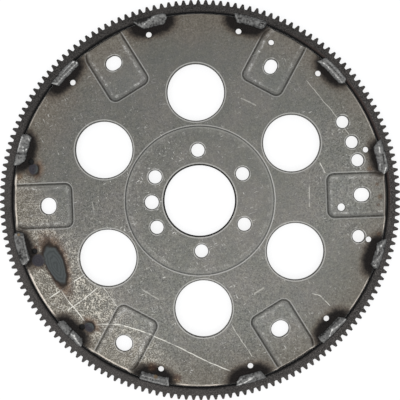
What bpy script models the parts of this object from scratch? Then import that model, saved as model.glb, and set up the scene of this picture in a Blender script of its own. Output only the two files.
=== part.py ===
"""Flexplate: a stamped drive plate with a welded starter ring gear and a counterweight.

Run with: blender --background --python part.py
Units are metres and +Z is up. The part lies with its engine side up, as in use it
faces the crankshaft. The origin is on the ring gear's axis, at its back face.
"""

import math

import bmesh
import bpy
from mathutils import Matrix

MM = 0.001
INCH = 0.0254

# Starter ring gear: 12/14 stub teeth, which are spaced at 12 pitch and as high as those of 14 pitch
TOOTH_COUNT = 168
PITCH_DIAMETER = 14.0 * INCH
ADDENDUM = INCH / 14
DEDENDUM_PER_ADDENDUM = 1.25
PRESSURE_ANGLE = math.radians(20.0)
TOOTH_THINNING = 0.30 * MM
ROOT_FILLET = 0.80 * MM
FIRST_TOOTH_ANGLE = math.radians(0.46)
RING_BODY_DEPTH = 7.6 * MM
RING_WIDTH = 10.4 * MM
RING_BORE_CHAMFER = 2.2 * MM

# Drive plate
SEAM_CLEARANCE = 0.5 * MM
PLATE_THICKNESS = 3.0 * MM
PLATE_SINK = 1.5 * MM
CENTRE_BORE_RADIUS = 31.75 * MM
HUB_RADIUS = 67.4 * MM
HUB_DEPTH = 1.2 * MM
HUB_WALL_RUN = 1.3 * MM

# Crankshaft bolts and dowel
CRANK_BOLT_COUNT = 6
CRANK_CIRCLE_RADIUS = 3.58 * INCH / 2
CRANK_HOLE_RADIUS = 5.95 * MM
CRANK_FIRST_ANGLE = math.radians(30.0)
DOWEL_CIRCLE_RADIUS = 43.2 * MM
DOWEL_HOLE_RADIUS = 6.25 * MM
DOWEL_ANGLE = math.radians(180.0)

# Lightening holes
LIGHTENING_COUNT = 6
LIGHTENING_CIRCLE_RADIUS = 97.2 * MM
LIGHTENING_HOLE_RADIUS = 25.4 * MM
LIGHTENING_FIRST_ANGLE = math.radians(30.0)

# Converter pads, pressed down from the engine side
PAD_COUNT = 6
PAD_HALF_WIDTH = 20.4 * MM
PAD_INNER_RADIUS = 114.0 * MM
PAD_DEPTH = 3.0 * MM
PAD_WALL_RUN = 2.2 * MM
PAD_CORNER_RADIUS = 6.3 * MM
PRESSED_CORNER_SHIFT = 1.2 * MM

# Converter bolt slots on two bolt circles: pad angle in degrees, half width, half length, slot direction
LARGE_BOLT_CIRCLE_RADIUS = 11.5 * INCH / 2
SMALL_BOLT_CIRCLE_RADIUS = 10.75 * INCH / 2
LARGE_CIRCLE_SLOTS = (
    (0.0, 6.1 * MM, 7.0 * MM, "radial"),
    (120.0, 6.1 * MM, 7.2 * MM, "tangential"),
    (240.0, 7.0 * MM, 7.5 * MM, "tangential"),
)
SMALL_CIRCLE_SLOTS = (
    (60.0, 5.5 * MM, 6.6 * MM, "radial"),
    (180.0, 6.9 * MM, 7.5 * MM, "tangential"),
    (300.0, 7.1 * MM, 8.0 * MM, "tangential"),
)

# Small holes near the rim, measured inwards from the rim
RIM_HOLE_COUNT = 12
RIM_HOLE_INSET = 11.7 * MM
RIM_HOLE_RADIUS = 2.55 * MM
RIM_HOLE_FIRST_ANGLE = math.radians(15.0)
BALANCE_HOLE_INSET = 21.2 * MM
BALANCE_HOLE_RADIUS = 5.5 * MM
BALANCE_HOLE_ANGLES = (26.8, 19.0, 12.3, -14.7)
GAUGE_HOLE_INSET = 11.2 * MM
GAUGE_HOLE_RADIUS = 2.5 * MM
GAUGE_HOLE_ANGLE = 63.6
DRAIN_HOLE_INSET = 39.6 * MM
DRAIN_HOLE_RADIUS = 3.4 * MM
DRAIN_HOLE_ANGLE = -4.75

# Weld beads between the plate and the ring: centre angle and span in degrees
RING_WELDS = (
    (11.4, 11.0),
    (42.4, 11.1),
    (72.1, 10.5),
    (103.1, 11.5),
    (134.5, 10.8),
    (162.0, 10.9),
    (192.7, 11.1),
    (223.5, 11.4),
    (253.5, 10.3),
    (283.7, 10.4),
    (313.7, 10.8),
    (341.4, 10.8),
)
RING_WELD_HALF_WIDTH = 4.6 * MM
RING_WELD_HEIGHT = 3.3 * MM
RING_WELD_INSET = 1.5 * MM
BEAD_END_SHARE = 0.42
BEAD_RIPPLE = 0.06
BEAD_POINTS = 9

# Counterweight on the converter side
WEIGHT_ANGLE = math.radians(197.0)
WEIGHT_HALF_SPAN = math.radians(34.0)
WEIGHT_RIM_INSET = 5.9 * MM
WEIGHT_RADIAL_DEPTH = 15.5 * MM
WEIGHT_THICKNESS = 4.8 * MM
WEIGHT_STEPS = 28
PAD_RELIEF_CLEARANCE = 0.5 * MM
PLUG_WELD_RADIUS = 4.0 * MM
PLUG_WELD_CROWN = 0.5 * MM
PLUG_WELDS = ((167.5, 7.8 * MM), (198.1, 5.5 * MM), (226.5, 9.3 * MM))
EDGE_WELD_ANGLE = 202.4
EDGE_WELD_SPAN = 13.0
EDGE_WELD_RADIUS = 3.4 * MM

# Clearance left between neighbouring pieces
FIT_GAP = 0.3 * MM

# Sizes that follow from the ones above
PITCH_RADIUS = PITCH_DIAMETER / 2
TIP_RADIUS = PITCH_RADIUS + ADDENDUM
ROOT_RADIUS = PITCH_RADIUS - ADDENDUM * DEDENDUM_PER_ADDENDUM
RING_BORE_RADIUS = ROOT_RADIUS - RING_BODY_DEPTH
RIM_RADIUS = RING_BORE_RADIUS - SEAM_CLEARANCE
PLATE_TOP = RING_WIDTH - PLATE_SINK
PLATE_BOTTOM = PLATE_TOP - PLATE_THICKNESS
HUB_TOP = PLATE_TOP - HUB_DEPTH
HUB_BOTTOM = PLATE_BOTTOM - HUB_DEPTH
PAD_TOP = PLATE_TOP - PAD_DEPTH
PAD_BOTTOM = PLATE_BOTTOM - PAD_DEPTH
WEIGHT_TOP = PLATE_BOTTOM - FIT_GAP
WEIGHT_BOTTOM = WEIGHT_TOP - WEIGHT_THICKNESS
WEIGHT_OUTER_RADIUS = RIM_RADIUS - WEIGHT_RIM_INSET
WEIGHT_INNER_RADIUS = WEIGHT_OUTER_RADIUS - WEIGHT_RADIAL_DEPTH

# Facets: the round edges that face each other share one count
RIM_SEGMENTS = TOOTH_COUNT
BORE_SEGMENTS = 64
HUB_SEGMENTS = 84
LARGE_HOLE_SEGMENTS = 40
BOLT_HOLE_SEGMENTS = 24
SMALL_HOLE_SEGMENTS = 16
PAD_CORNER_SEGMENTS = 4

# A cutter reaches this far past what it cuts
OVERCUT = 4.0 * MM


def clear_scene():
    for obj in list(bpy.data.objects):
        bpy.data.objects.remove(obj, do_unlink=True)
    for collection in list(bpy.data.collections):
        bpy.data.collections.remove(collection)


def new_collection(name):
    collection = bpy.data.collections.new(name)
    bpy.context.scene.collection.children.link(collection)
    return collection


def steel(name, colour, metallic, roughness):
    material = bpy.data.materials.new(name)
    material.use_nodes = True
    shader = material.node_tree.nodes["Principled BSDF"]
    shader.inputs["Base Color"].default_value = (*colour, 1.0)
    shader.inputs["Metallic"].default_value = metallic
    shader.inputs["Roughness"].default_value = roughness
    return material


def plate_steel():
    return steel("plate_steel", (0.23, 0.22, 0.20), 0.85, 0.55)


def ring_steel():
    return steel("ring_steel", (0.06, 0.055, 0.052), 0.70, 0.50)


def weld_steel():
    return steel("weld_steel", (0.20, 0.20, 0.19), 0.75, 0.45)


def weight_steel():
    return steel("weight_steel", (0.10, 0.10, 0.10), 0.80, 0.60)


def finish_mesh(mesh):
    mesh.shade_smooth()
    mesh.set_sharp_from_angle(angle=math.radians(30.0))


def add_object(name, mesh, collection, material):
    finish_mesh(mesh)
    mesh.materials.clear()
    mesh.materials.append(material)
    obj = bpy.data.objects.new(name, mesh)
    collection.objects.link(obj)
    return obj


def add_cutter(name, bm, cutters):
    mesh = bpy.data.meshes.new(name)
    bm.to_mesh(mesh)
    bm.free()
    obj = bpy.data.objects.new(name, mesh)
    obj.hide_render = True
    obj.display_type = "WIRE"
    cutters.objects.link(obj)
    return obj


def add_boolean(obj, cutter, operation):
    modifier = obj.modifiers.new(cutter.name, "BOOLEAN")
    modifier.operation = operation
    modifier.object = cutter
    modifier.solver = "EXACT"
    return modifier


def mesh_from_curve(obj):
    """Turn a curve object into a welded mesh, and remove the curve."""
    bpy.context.view_layer.update()
    depsgraph = bpy.context.evaluated_depsgraph_get()
    mesh = bpy.data.meshes.new_from_object(obj.evaluated_get(depsgraph))
    mesh.transform(obj.matrix_world)
    bpy.data.objects.remove(obj, do_unlink=True)
    bm = bmesh.new()
    bm.from_mesh(mesh)
    bmesh.ops.remove_doubles(bm, verts=bm.verts, dist=1e-6)
    bmesh.ops.recalc_face_normals(bm, faces=bm.faces)
    bm.to_mesh(mesh)
    bm.free()
    return mesh


def add_spline(curve, points, cyclic):
    spline = curve.splines.new("POLY")
    spline.points.add(len(points) - 1)
    for point, (x, y) in zip(spline.points, points):
        point.co = (x, y, 0.0, 1.0)
    spline.use_cyclic_u = cyclic
    return spline


def flat_solid(name, outlines, bottom, top, collection):
    """A flat outline, with any holes as further outlines, as a solid between two heights."""
    curve = bpy.data.curves.new(name, "CURVE")
    curve.dimensions = "2D"
    curve.fill_mode = "BOTH"
    curve.extrude = (top - bottom) / 2
    for points in outlines:
        add_spline(curve, points, True)
    obj = bpy.data.objects.new(name, curve)
    obj.location.z = (top + bottom) / 2
    collection.objects.link(obj)
    mesh = mesh_from_curve(obj)
    mesh.name = name
    return mesh


def polar(radius, angle):
    return radius * math.cos(angle), radius * math.sin(angle)


def ring_points(radius, segments):
    return [polar(radius, 2 * math.pi * i / segments) for i in range(segments)]


def involute(angle):
    return math.tan(angle) - angle


def half_tooth_angle(radius):
    """Half of a tooth's angular thickness at a radius, on its involute flank."""
    pitch_thickness = math.pi * PITCH_RADIUS / TOOTH_COUNT - TOOTH_THINNING
    base_radius = PITCH_RADIUS * math.cos(PRESSURE_ANGLE)
    local_angle = math.acos(base_radius / radius)
    return pitch_thickness / 2 / PITCH_RADIUS + involute(PRESSURE_ANGLE) - involute(local_angle)


def tooth_outline():
    fillet_radius = ROOT_RADIUS + ROOT_FILLET
    root_half = half_tooth_angle(fillet_radius) + ROOT_FILLET / ROOT_RADIUS
    fillet_half = half_tooth_angle(fillet_radius)
    tip_half = half_tooth_angle(TIP_RADIUS)
    points = []
    for i in range(TOOTH_COUNT):
        centre = FIRST_TOOTH_ANGLE + 2 * math.pi * i / TOOTH_COUNT
        points.append(polar(ROOT_RADIUS, centre - root_half))
        points.append(polar(fillet_radius, centre - fillet_half))
        points.append(polar(TIP_RADIUS, centre - tip_half))
        points.append(polar(TIP_RADIUS, centre + tip_half))
        points.append(polar(fillet_radius, centre + fillet_half))
        points.append(polar(ROOT_RADIUS, centre + root_half))
    return points


def add_frustum(bm, segments, low_radius, high_radius, low, high, location=(0.0, 0.0)):
    """A cylinder or cone between two heights, as a closed shell in the bmesh."""
    place = Matrix.Translation((location[0], location[1], (low + high) / 2))
    return bmesh.ops.create_cone(
        bm,
        cap_ends=True,
        segments=segments,
        radius1=low_radius,
        radius2=high_radius,
        depth=high - low,
        matrix=place,
    )["verts"]


def chamfer_radius(level):
    """The radius of the ring bore's 45 degree chamfer at a height."""
    return RING_BORE_RADIUS + level - (RING_WIDTH - RING_BORE_CHAMFER)


def bore_chamfer(cutters):
    bm = bmesh.new()
    low = RING_WIDTH - RING_BORE_CHAMFER - OVERCUT
    high = RING_WIDTH + OVERCUT
    add_frustum(bm, RIM_SEGMENTS, chamfer_radius(low), chamfer_radius(high), low, high)
    return add_cutter("bore_chamfer", bm, cutters)


def build_ring_gear(parts, cutters):
    outlines = [tooth_outline(), ring_points(RING_BORE_RADIUS, RIM_SEGMENTS)]
    mesh = flat_solid("ring_gear", outlines, 0.0, RING_WIDTH, parts)
    ring = add_object("ring_gear", mesh, parts, ring_steel())
    add_boolean(ring, bore_chamfer(cutters), "DIFFERENCE")
    return ring


def add_pad_block(bm, angle, low_grow, high_grow, low, high):
    """A pad's rounded block, which widens from its low face to its high face."""
    outer_radius = RIM_RADIUS + 2 * OVERCUT
    inner_low = PAD_INNER_RADIUS - low_grow
    half_low = PAD_HALF_WIDTH + low_grow
    length = outer_radius - inner_low
    middle = (outer_radius + inner_low) / 2
    block = bmesh.new()
    bmesh.ops.create_cube(block, size=1.0)
    bmesh.ops.scale(block, vec=(length, 2 * half_low, high - low), verts=block.verts)
    upright = [e for e in block.edges if abs(e.verts[0].co.z - e.verts[1].co.z) > (high - low) / 2]
    bmesh.ops.bevel(
        block,
        geom=upright,
        offset=PAD_CORNER_RADIUS,
        segments=PAD_CORNER_SEGMENTS,
        profile=0.5,
        affect="EDGES",
    )
    bmesh.ops.translate(block, vec=(middle, 0.0, (low + high) / 2), verts=block.verts)
    upper = [v for v in block.verts if v.co.z > (low + high) / 2]
    widen = (PAD_HALF_WIDTH + high_grow) / half_low
    lengthen = (outer_radius - PAD_INNER_RADIUS + high_grow) / length
    for vertex in upper:
        vertex.co.y *= widen
        vertex.co.x = outer_radius - (outer_radius - vertex.co.x) * lengthen
    bmesh.ops.rotate(block, matrix=Matrix.Rotation(angle, 3, "Z"), verts=block.verts)
    copy = bpy.data.meshes.new("pad_block")
    block.to_mesh(copy)
    block.free()
    bm.from_mesh(copy)
    bpy.data.meshes.remove(copy)


def pressed_bosses(cutters):
    """What the pressed hub and pads add on the converter side."""
    bm = bmesh.new()
    inside = (PLATE_TOP + PLATE_BOTTOM) / 2
    share = (inside - HUB_BOTTOM) / HUB_DEPTH
    hub_low = HUB_RADIUS - HUB_WALL_RUN + PRESSED_CORNER_SHIFT
    add_frustum(bm, HUB_SEGMENTS, hub_low, hub_low + HUB_WALL_RUN * share, HUB_BOTTOM, inside)
    share = (inside - PAD_BOTTOM) / PAD_DEPTH
    pad_low = PRESSED_CORNER_SHIFT - PAD_WALL_RUN
    for i in range(PAD_COUNT):
        angle = 2 * math.pi * i / PAD_COUNT
        add_pad_block(bm, angle, pad_low, pad_low + PAD_WALL_RUN * share, PAD_BOTTOM, inside)
    return add_cutter("pressed_bosses", bm, cutters)


def pressed_recesses(cutters):
    """What the pressed hub and pads take away on the engine side."""
    bm = bmesh.new()
    above = PLATE_TOP + OVERCUT
    share = (above - HUB_TOP) / HUB_DEPTH
    hub_low = HUB_RADIUS - HUB_WALL_RUN
    add_frustum(bm, HUB_SEGMENTS, hub_low, hub_low + HUB_WALL_RUN * share, HUB_TOP, above)
    share = (above - PAD_TOP) / PAD_DEPTH
    for i in range(PAD_COUNT):
        angle = 2 * math.pi * i / PAD_COUNT
        add_pad_block(bm, angle, -PAD_WALL_RUN, PAD_WALL_RUN * (share - 1), PAD_TOP, above)
    return add_cutter("pressed_recesses", bm, cutters)


def rim_trim(cutters):
    bm = bmesh.new()
    add_frustum(bm, RIM_SEGMENTS, RIM_RADIUS, RIM_RADIUS, PAD_BOTTOM - OVERCUT, PLATE_TOP + OVERCUT)
    return add_cutter("rim_trim", bm, cutters)


def add_hole(bm, radius, segments, circle_radius, angle):
    low = PLATE_BOTTOM - max(PAD_DEPTH, HUB_DEPTH) - OVERCUT
    return add_frustum(bm, segments, radius, radius, low, PLATE_TOP + OVERCUT, polar(circle_radius, angle))


def add_slot(bm, half_width, half_length, circle_radius, angle, direction):
    """An obround hole: a round one whose two halves are moved apart along the slot."""
    verts = add_hole(bm, half_width, BOLT_HOLE_SEGMENTS, 0.0, 0.0)
    turn = 0.0 if direction == "radial" else math.pi / 2
    for vertex in verts:
        vertex.co.x += math.copysign(half_length - half_width, vertex.co.x)
    bmesh.ops.rotate(bm, matrix=Matrix.Rotation(angle + turn, 3, "Z"), verts=verts)
    bmesh.ops.translate(bm, vec=(*polar(circle_radius, angle), 0.0), verts=verts)


def plate_holes(cutters):
    bm = bmesh.new()
    add_hole(bm, CENTRE_BORE_RADIUS, BORE_SEGMENTS, 0.0, 0.0)
    for i in range(CRANK_BOLT_COUNT):
        angle = CRANK_FIRST_ANGLE + 2 * math.pi * i / CRANK_BOLT_COUNT
        add_hole(bm, CRANK_HOLE_RADIUS, BOLT_HOLE_SEGMENTS, CRANK_CIRCLE_RADIUS, angle)
    add_hole(bm, DOWEL_HOLE_RADIUS, BOLT_HOLE_SEGMENTS, DOWEL_CIRCLE_RADIUS, DOWEL_ANGLE)
    for i in range(LIGHTENING_COUNT):
        angle = LIGHTENING_FIRST_ANGLE + 2 * math.pi * i / LIGHTENING_COUNT
        add_hole(bm, LIGHTENING_HOLE_RADIUS, LARGE_HOLE_SEGMENTS, LIGHTENING_CIRCLE_RADIUS, angle)
    for degrees, half_width, half_length, direction in LARGE_CIRCLE_SLOTS:
        add_slot(bm, half_width, half_length, LARGE_BOLT_CIRCLE_RADIUS, math.radians(degrees), direction)
    for degrees, half_width, half_length, direction in SMALL_CIRCLE_SLOTS:
        add_slot(bm, half_width, half_length, SMALL_BOLT_CIRCLE_RADIUS, math.radians(degrees), direction)
    for i in range(RIM_HOLE_COUNT):
        angle = RIM_HOLE_FIRST_ANGLE + 2 * math.pi * i / RIM_HOLE_COUNT
        add_hole(bm, RIM_HOLE_RADIUS, SMALL_HOLE_SEGMENTS, RIM_RADIUS - RIM_HOLE_INSET, angle)
    for degrees in BALANCE_HOLE_ANGLES:
        radius = RIM_RADIUS - BALANCE_HOLE_INSET
        add_hole(bm, BALANCE_HOLE_RADIUS, BOLT_HOLE_SEGMENTS, radius, math.radians(degrees))
    gauge_angle = math.radians(GAUGE_HOLE_ANGLE)
    add_hole(bm, GAUGE_HOLE_RADIUS, SMALL_HOLE_SEGMENTS, RIM_RADIUS - GAUGE_HOLE_INSET, gauge_angle)
    drain_angle = math.radians(DRAIN_HOLE_ANGLE)
    add_hole(bm, DRAIN_HOLE_RADIUS, SMALL_HOLE_SEGMENTS, RIM_RADIUS - DRAIN_HOLE_INSET, drain_angle)
    return add_cutter("plate_holes", bm, cutters)


def build_drive_plate(parts, cutters):
    bm = bmesh.new()
    blank_radius = RIM_RADIUS + OVERCUT
    add_frustum(bm, RIM_SEGMENTS, blank_radius, blank_radius, PLATE_BOTTOM, PLATE_TOP)
    mesh = bpy.data.meshes.new("drive_plate")
    bm.to_mesh(mesh)
    bm.free()
    plate = add_object("drive_plate", mesh, parts, plate_steel())
    add_boolean(plate, pressed_bosses(cutters), "UNION")
    add_boolean(plate, rim_trim(cutters), "INTERSECT")
    add_boolean(plate, pressed_recesses(cutters), "DIFFERENCE")
    holes = add_boolean(plate, plate_holes(cutters), "DIFFERENCE")
    holes.use_self = True
    return plate


def bead_path(radius, centre, span):
    """Points along an arc, for a bead's centre line."""
    steps = BEAD_POINTS - 1
    return [polar(radius, centre + span * (i / steps - 0.5)) for i in range(BEAD_POINTS)]


def bead_share(i, number):
    """How thick a bead is along its length: round ends and a slight ripple."""
    along = abs(2 * i / (BEAD_POINTS - 1) - 1)
    rounding = math.sqrt(max(0.0, 1 - along ** 4))
    ripple = 1 + BEAD_RIPPLE * math.sin(2.3 * i + 1.7 * number)
    return BEAD_END_SHARE + (1 - BEAD_END_SHARE) * rounding * ripple


def bead_mesh(name, path, half_width, height, level, number, collection):
    """A bead as a tube along its path, flattened to its height."""
    curve = bpy.data.curves.new(name, "CURVE")
    curve.dimensions = "3D"
    curve.bevel_depth = half_width
    curve.bevel_resolution = 4
    curve.use_fill_caps = True
    spline = add_spline(curve, path, False)
    for i, point in enumerate(spline.points):
        point.radius = bead_share(i, number)
    obj = bpy.data.objects.new(name, curve)
    collection.objects.link(obj)
    mesh = mesh_from_curve(obj)
    mesh.name = name
    mesh.transform(Matrix.Diagonal((1.0, 1.0, height / half_width, 1.0)))
    mesh.transform(Matrix.Translation((0.0, 0.0, level)))
    return mesh


def turned_cutter(name, profile, steps, cutters):
    """A closed profile of radius and height, listed down its outer side, turned about Z."""
    bm = bmesh.new()
    verts = [bm.verts.new((radius, 0.0, height)) for radius, height in profile]
    for first, second in zip(verts, verts[1:] + verts[:1]):
        bm.edges.new((first, second))
    obj = add_cutter(name, bm, cutters)
    screw = obj.modifiers.new("turn", "SCREW")
    screw.axis = "Z"
    screw.angle = 2 * math.pi
    screw.steps = steps
    screw.render_steps = steps
    screw.use_merge_vertices = True
    screw.merge_threshold = 0.00001
    return obj


def ring_weld_bed(cutters):
    """The plate and the ring as one body, grown by the fit gap, that the beads lie on."""
    plate_level = PLATE_TOP + FIT_GAP
    ring_level = RING_WIDTH + FIT_GAP
    slope_gap = FIT_GAP * math.sqrt(2)
    inner = RIM_RADIUS - 4 * RING_WELD_HALF_WIDTH
    outer = RING_BORE_RADIUS + 4 * RING_WELD_HALF_WIDTH
    floor = PLATE_TOP - 2 * RING_WELD_HEIGHT - OVERCUT
    profile = (
        (inner, plate_level),
        (chamfer_radius(plate_level) - slope_gap, plate_level),
        (chamfer_radius(ring_level) - slope_gap, ring_level),
        (outer, ring_level),
        (outer, floor),
        (inner, floor),
    )
    return turned_cutter("ring_weld_bed", profile, RIM_SEGMENTS, cutters)


def build_ring_welds(parts, cutters):
    bed = ring_weld_bed(cutters)
    material = weld_steel()
    radius = RING_BORE_RADIUS - RING_WELD_INSET
    welds = []
    for number, (centre, span) in enumerate(RING_WELDS, start=1):
        name = f"ring_weld_{number:02d}"
        path = bead_path(radius, math.radians(centre), math.radians(span))
        mesh = bead_mesh(name, path, RING_WELD_HALF_WIDTH, RING_WELD_HEIGHT, PLATE_TOP, number, parts)
        weld = add_object(name, mesh, parts, material)
        add_boolean(weld, bed, "DIFFERENCE")
        welds.append(weld)
    return welds


def weight_outline():
    outer = []
    inner = []
    for i in range(WEIGHT_STEPS + 1):
        angle = WEIGHT_ANGLE + WEIGHT_HALF_SPAN * (2 * i / WEIGHT_STEPS - 1)
        outer.append(polar(WEIGHT_OUTER_RADIUS, angle))
        inner.append(polar(WEIGHT_INNER_RADIUS, angle))
    return outer + inner[::-1]


def pad_relief(cutters):
    """Room in the counterweight for the pads' bosses."""
    bm = bmesh.new()
    low = PAD_BOTTOM - FIT_GAP
    high = WEIGHT_TOP + OVERCUT
    grow = PRESSED_CORNER_SHIFT + PAD_RELIEF_CLEARANCE
    for i in range(PAD_COUNT):
        angle = 2 * math.pi * i / PAD_COUNT
        add_pad_block(bm, angle, grow, grow, low, high)
    return add_cutter("pad_relief", bm, cutters)


def plug_places():
    for degrees, inset in PLUG_WELDS:
        yield polar(WEIGHT_OUTER_RADIUS - inset, math.radians(degrees))


def plug_holes(cutters):
    bm = bmesh.new()
    radius = PLUG_WELD_RADIUS + FIT_GAP
    low = WEIGHT_BOTTOM - OVERCUT
    high = WEIGHT_TOP + OVERCUT
    for place in plug_places():
        add_frustum(bm, BOLT_HOLE_SEGMENTS, radius, radius, low, high, place)
    return add_cutter("plug_holes", bm, cutters)


def build_counterweight(parts, cutters):
    mesh = flat_solid("counterweight", [weight_outline()], WEIGHT_BOTTOM, WEIGHT_TOP, parts)
    weight = add_object("counterweight", mesh, parts, weight_steel())
    add_boolean(weight, pad_relief(cutters), "DIFFERENCE")
    add_boolean(weight, plug_holes(cutters), "DIFFERENCE")
    return weight


def build_plug_welds(parts):
    """Plug welds through the counterweight, each with a low crown."""
    material = weld_steel()
    for number, place in enumerate(plug_places(), start=1):
        name = f"weight_plug_weld_{number}"
        bm = bmesh.new()
        crown = WEIGHT_BOTTOM - PLUG_WELD_CROWN
        add_frustum(bm, BOLT_HOLE_SEGMENTS, PLUG_WELD_RADIUS, PLUG_WELD_RADIUS, crown, WEIGHT_TOP, place)
        foot = [e for e in bm.edges if all(abs(v.co.z - crown) < 1e-6 for v in e.verts)]
        bmesh.ops.bevel(bm, geom=foot, offset=PLUG_WELD_CROWN, segments=1, affect="EDGES")
        mesh = bpy.data.meshes.new(name)
        bm.to_mesh(mesh)
        bm.free()
        add_object(name, mesh, parts, material)


def edge_weld_bed(cutters):
    """The plate's underside and the counterweight's inner wall, grown by the fit gap."""
    level = PLATE_BOTTOM - FIT_GAP
    wall = WEIGHT_INNER_RADIUS - FIT_GAP
    reach = 4 * EDGE_WELD_RADIUS
    profile = (
        (wall - reach, PLATE_BOTTOM + reach),
        (wall + reach, PLATE_BOTTOM + reach),
        (wall + reach, PLATE_BOTTOM - reach),
        (wall, PLATE_BOTTOM - reach),
        (wall, level),
        (wall - reach, level),
    )
    return turned_cutter("edge_weld_bed", profile, RIM_SEGMENTS, cutters)


def build_edge_weld(parts, cutters):
    path = bead_path(WEIGHT_INNER_RADIUS, math.radians(EDGE_WELD_ANGLE), math.radians(EDGE_WELD_SPAN))
    name = "weight_edge_weld"
    mesh = bead_mesh(name, path, EDGE_WELD_RADIUS, EDGE_WELD_RADIUS, PLATE_BOTTOM, 0, parts)
    weld = add_object(name, mesh, parts, weld_steel())
    add_boolean(weld, edge_weld_bed(cutters), "DIFFERENCE")
    return weld


def build_flexplate():
    clear_scene()
    parts = new_collection("flexplate")
    cutters = new_collection("flexplate_cutters")
    build_ring_gear(parts, cutters)
    build_drive_plate(parts, cutters)
    build_ring_welds(parts, cutters)
    build_counterweight(parts, cutters)
    build_plug_welds(parts)
    build_edge_weld(parts, cutters)
    bpy.context.view_layer.update()


build_flexplate()
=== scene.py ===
import math

import bpy
import numpy as np
from mathutils import Matrix, Vector, noise
from mathutils.geometry import delaunay_2d_cdt


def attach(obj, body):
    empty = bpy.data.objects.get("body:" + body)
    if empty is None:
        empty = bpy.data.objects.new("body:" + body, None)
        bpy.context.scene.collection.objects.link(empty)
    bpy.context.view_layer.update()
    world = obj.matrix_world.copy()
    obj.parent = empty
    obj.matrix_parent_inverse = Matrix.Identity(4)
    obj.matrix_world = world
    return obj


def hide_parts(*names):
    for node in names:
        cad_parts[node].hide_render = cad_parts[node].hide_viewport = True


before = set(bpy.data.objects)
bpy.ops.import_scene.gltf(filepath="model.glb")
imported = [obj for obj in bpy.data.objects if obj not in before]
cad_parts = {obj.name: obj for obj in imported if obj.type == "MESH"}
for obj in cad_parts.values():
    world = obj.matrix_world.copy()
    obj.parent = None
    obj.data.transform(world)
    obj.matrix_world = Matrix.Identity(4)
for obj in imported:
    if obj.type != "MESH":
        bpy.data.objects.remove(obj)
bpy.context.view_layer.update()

# Lengths below are in millimetres, and become metres when a mesh is made
MM = 0.001
INCH = 25.4

# Sizes, as in the CAD
TOOTH_COUNT = 168
PITCH_RADIUS = 7.0 * INCH
TIP_RADIUS = PITCH_RADIUS + INCH / 14
ROOT_RADIUS = PITCH_RADIUS - 1.25 * INCH / 14
PRESSURE_ANGLE = math.radians(20.0)
TOOTH_THINNING = 0.30
ROOT_FILLET = 0.80
TOOTH_CHAMFER = 0.24
FIRST_TOOTH_ANGLE = math.radians(0.46)
RING_TOP = 10.4
RING_BORE_RADIUS = ROOT_RADIUS - 7.6
RING_BORE_CHAMFER = 2.2
RIM_RADIUS = RING_BORE_RADIUS - 0.5
PLATE_TOP = 8.9
PLATE_BOTTOM = 5.9
HUB_RADIUS = 67.4
HUB_DEPTH = 1.2
HUB_WALL_RUN = 1.3
PAD_HALF_WIDTH = 20.4
PAD_INNER_RADIUS = 114.0
PAD_DEPTH = 3.0
PAD_WALL_RUN = 2.2
PAD_CORNER_RADIUS = 7.0
PAD_ANGLES = [math.radians(60 * i) for i in range(6)]
PRESSED_CORNER_SHIFT = 1.2
LARGE_CIRCLE = 11.5 * INCH / 2
SMALL_CIRCLE = 10.75 * INCH / 2

# Bore and dowel hole as obrounds: centre, half width, half length, direction, points round it
CENTRE_BORE = (0.0, 0.0, 31.75, 31.75, 0.0, 180)
DOWEL_HOLE = (-43.2, 0.0, 6.25, 6.25, 0.0, 56)

# Crankshaft bolt holes and lightening holes, at the same angles: circle, radius, points round each
PAIRED_HOLES = ((3.58 * INCH / 2, 5.95, 56), (97.2, 25.4, 150))

# Converter slots: angle, circle, half width, half length, turn of the long way
SLOTS = (
    (0, LARGE_CIRCLE, 6.1, 7.0, 0),
    (60, SMALL_CIRCLE, 5.5, 6.6, 0),
    (120, LARGE_CIRCLE, 6.1, 7.2, 90),
    (180, SMALL_CIRCLE, 6.9, 7.5, 90),
    (240, LARGE_CIRCLE, 7.0, 7.5, 90),
    (300, SMALL_CIRCLE, 7.1, 8.0, 90),
)

# Small, balance and odd holes: angles, distance in from the rim, radius, points round each
OUTER_HOLES = (
    (range(15, 360, 30), 11.7, 2.55, 32),
    ((26.8, 19.0, 12.3, -14.7), 21.2, 5.5, 52),
    ((63.6,), 11.2, 2.5, 32),
    ((-4.75,), 39.6, 3.4, 36),
)

# How the pressed and sheared metal is rounded
UPPER_BEND = 1.2
HUB_LOWER_BEND = 1.8
PAD_LOWER_BEND = 2.8
PAD_LEAN_START = 157.0
PAD_LEAN = 4.5
EDGE_ROUND = 1.3
EDGE_FLATTENING = 0.45
UNDER_EDGE_ROUND = 0.2

# Rows of mesh points: inside the rim and round the holes, and outside each pressing's upper edge
EDGE_ROWS = (0.25, 0.7, 1.2, 2.0)
HUB_ROWS = (2.4, 1.5, 0.8, 0.3, -0.2, -0.7, -1.2, -1.8, -2.6, -3.6)
PAD_ROWS = (2.4, 1.5, 0.8, 0.3, -0.2, -0.7, -1.3, -1.9, -2.5, -3.2, -4.0, -5.2)
HUB_ROW_POINTS = 240
ROW_CLEARANCE = 2.4
GRID_CLEARANCE = 2.8
HUB_GRID_GAP = (-4.6, 3.4)
PAD_GRID_GAP = (-6.6, 3.6)
COARSE_GRID = 4.2
FINE_GRID = 2.0
FINE_GRID_START = 146.0
BEAD_TOP_LIMIT = 12.1
RING_FACE_RADIUS = ROOT_RADIUS - 2.6
SOOT_RADIUS = 163.0
SOOT_OUTER_RADIUS = 166.5

FLOOR_HALF_SIDE = 14.0
FLOOR_DROP = 0.0003

# The photograph: almost straight down from the upper right, turned a little
PHOTO_TURN = math.radians(2.07)
CAMERA_DISTANCE = 800.0
CAMERA_LEAN = math.radians(0.85)
CAMERA_LEAN_ANGLE = 60.0
AIM_OFFSET = 0.6
HALF_VIEW = 179.3
SENSOR_WIDTH = 36.0

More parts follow.
